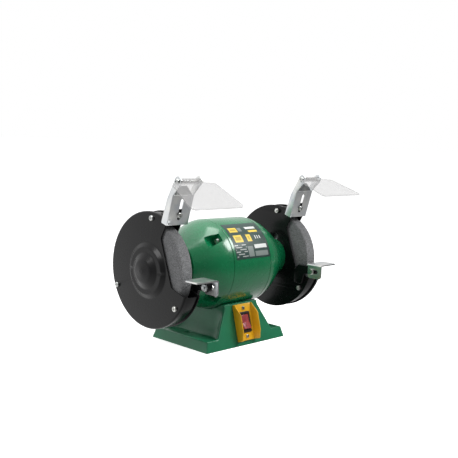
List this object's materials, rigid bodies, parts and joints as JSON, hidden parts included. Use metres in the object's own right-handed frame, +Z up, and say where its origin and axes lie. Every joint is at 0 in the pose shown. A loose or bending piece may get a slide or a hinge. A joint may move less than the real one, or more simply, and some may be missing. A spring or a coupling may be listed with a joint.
{
  "type": "bench grinder",
  "caption": "Double-ended bench grinder: induction motor on a flared foot, guarded abrasive wheels, clear tilting eye shields, sliding tool rests and a rocker switch.",
  "frame": {"origin": "middle of the foot's underside, on the bench", "axes": "+X along the wheel shaft to the user's right, -Y towards the user, +Z up"},
  "size_m": [0.3798, 0.2282, 0.2737],
  "materials": {
    "green_enamel": "gloss enamel on rolled steel",
    "bell_enamel": "gloss enamel on an aluminium casting",
    "base_green": "semi-gloss enamel on a rough aluminium casting",
    "black_enamel": "satin enamel on sheet steel",
    "zinc_plate": "bright zinc plate",
    "ground_steel": "ground",
    "lamination_steel": "oxidised laminations",
    "enamelled_copper": "enamelled copper wire under varnish",
    "grey_abrasive": "vitrified aluminium oxide grit",
    "clear_plastic": "clear polycarbonate",
    "yellow_plastic": "moulded",
    "red_lens": "translucent moulding",
    "black_plastic": "moulded",
    "black_rubber": "moulded"
  },
  "bodies": {
    "frame": {"pedestal": "base_green", "bottom_plate": "zinc_plate", "motor_shell": "green_enamel", "end_bell_left": "bell_enamel", "end_bell_right": "bell_enamel", "stator_core": "lamination_steel", "winding": "enamelled_copper", "switch_bezel": "yellow_plastic", "switch_housing": "black_plastic", "capacitor": "black_plastic", "cable_gland": "black_rubber", "tie_bolt_1": "zinc_plate", "tie_bolt_2": "zinc_plate", "tie_bolt_3": "zinc_plate", "tie_bolt_4": "zinc_plate", "bearing_outer_left": "ground_steel", "guard_plate_left": "black_enamel", "guard_band_left": "black_enamel", "guard_cover_left": "black_enamel", "shield_tab_left": "black_enamel", "bracket_bolt_left": "zinc_plate", "rest_arm_left": "black_enamel", "cover_bolt_left_1": "zinc_plate", "cover_bolt_left_2": "zinc_plate", "cover_bolt_left_3": "zinc_plate", "bearing_outer_right": "ground_steel", "guard_plate_right": "black_enamel", "guard_band_right": "black_enamel", "guard_cover_right": "black_enamel", "shield_tab_right": "black_enamel", "bracket_bolt_right": "zinc_plate", "rest_arm_right": "black_enamel", "cover_bolt_right_1": "zinc_plate", "cover_bolt_right_2": "zinc_plate", "cover_bolt_right_3": "zinc_plate"},
    "rotor": {"shaft": "ground_steel", "rotor_core": "lamination_steel", "grinding_wheel_left": "grey_abrasive", "inner_flange_left": "ground_steel", "outer_flange_left": "ground_steel", "wheel_nut_left": "zinc_plate", "bearing_inner_left": "ground_steel", "grinding_wheel_right": "grey_abrasive", "inner_flange_right": "ground_steel", "outer_flange_right": "ground_steel", "wheel_nut_right": "zinc_plate", "bearing_inner_right": "ground_steel"},
    "ball_cage_left": {"ball_cage_left": "ground_steel"},
    "rest_pivot_left": {"rest_bolt_left": "zinc_plate"},
    "rest_left": {"tool_rest_left": "zinc_plate"},
    "bracket_left": {"shield_bracket_left": "zinc_plate", "pivot_bolt_left": "zinc_plate"},
    "shield_left": {"eye_shield_left": "clear_plastic"},
    "ball_cage_right": {"ball_cage_right": "ground_steel"},
    "rest_pivot_right": {"rest_bolt_right": "zinc_plate"},
    "rest_right": {"tool_rest_right": "zinc_plate"},
    "bracket_right": {"shield_bracket_right": "zinc_plate", "pivot_bolt_right": "zinc_plate"},
    "shield_right": {"eye_shield_right": "clear_plastic"},
    "rocker": {"rocker": "red_lens"}
  },
  "joints": [
    {"name": "rotor_spin", "type": "hinge", "parent": "frame", "child": "rotor", "pos_m": [0, 0, 0.128], "axis": [1, 0, 0], "continuous": true},
    {"name": "cage_left_spin", "type": "hinge", "parent": "frame", "child": "ball_cage_left", "pos_m": [-0.0833, 0, 0.128], "axis": [1, 0, 0], "continuous": true},
    {"name": "rest_tilt_left", "type": "hinge", "parent": "frame", "child": "rest_pivot_left", "pos_m": [-0.1175, -0.097, 0.114], "axis": [1, 0, 0], "range_deg": [-7, 25]},
    {"name": "rest_slide_left", "type": "slide", "parent": "rest_pivot_left", "child": "rest_left", "axis": [0, 1, 0], "range_m": [-0.0035, 0.007]},
    {"name": "bracket_slide_left", "type": "slide", "parent": "frame", "child": "bracket_left", "axis": [0, -0.2723, 0.9622], "range_m": [-0.008, 0.0042]},
    {"name": "shield_tilt_left", "type": "hinge", "parent": "bracket_left", "child": "shield_left", "pos_m": [-0.1379, -0.06706, 0.26634], "axis": [1, 0, 0], "range_deg": [-90, 35]},
    {"name": "cage_right_spin", "type": "hinge", "parent": "frame", "child": "ball_cage_right", "pos_m": [0.0833, 0, 0.128], "axis": [1, 0, 0], "continuous": true},
    {"name": "rest_tilt_right", "type": "hinge", "parent": "frame", "child": "rest_pivot_right", "pos_m": [0.1175, -0.097, 0.114], "axis": [1, 0, 0], "range_deg": [-7, 25]},
    {"name": "rest_slide_right", "type": "slide", "parent": "rest_pivot_right", "child": "rest_right", "axis": [0, 1, 0], "range_m": [-0.0015, 0.0085]},
    {"name": "bracket_slide_right", "type": "slide", "parent": "frame", "child": "bracket_right", "axis": [0, -0.2723, 0.9622], "range_m": [-0.008, 0.0042]},
    {"name": "shield_tilt_right", "type": "hinge", "parent": "bracket_right", "child": "shield_right", "pos_m": [0.1379, -0.06706, 0.26634], "axis": [1, 0, 0], "range_deg": [-80, 45]},
    {"name": "rocker_press", "type": "hinge", "parent": "frame", "child": "rocker", "pos_m": [0, -0.05859, 0.03661], "axis": [1, 0, 0], "range_deg": [0, 18]}
  ],
  "couplings": [
    {"joint": "cage_left_spin", "follows": "rotor_spin", "ratio": 0.38},
    {"joint": "cage_right_spin", "follows": "rotor_spin", "ratio": 0.38}
  ]
}
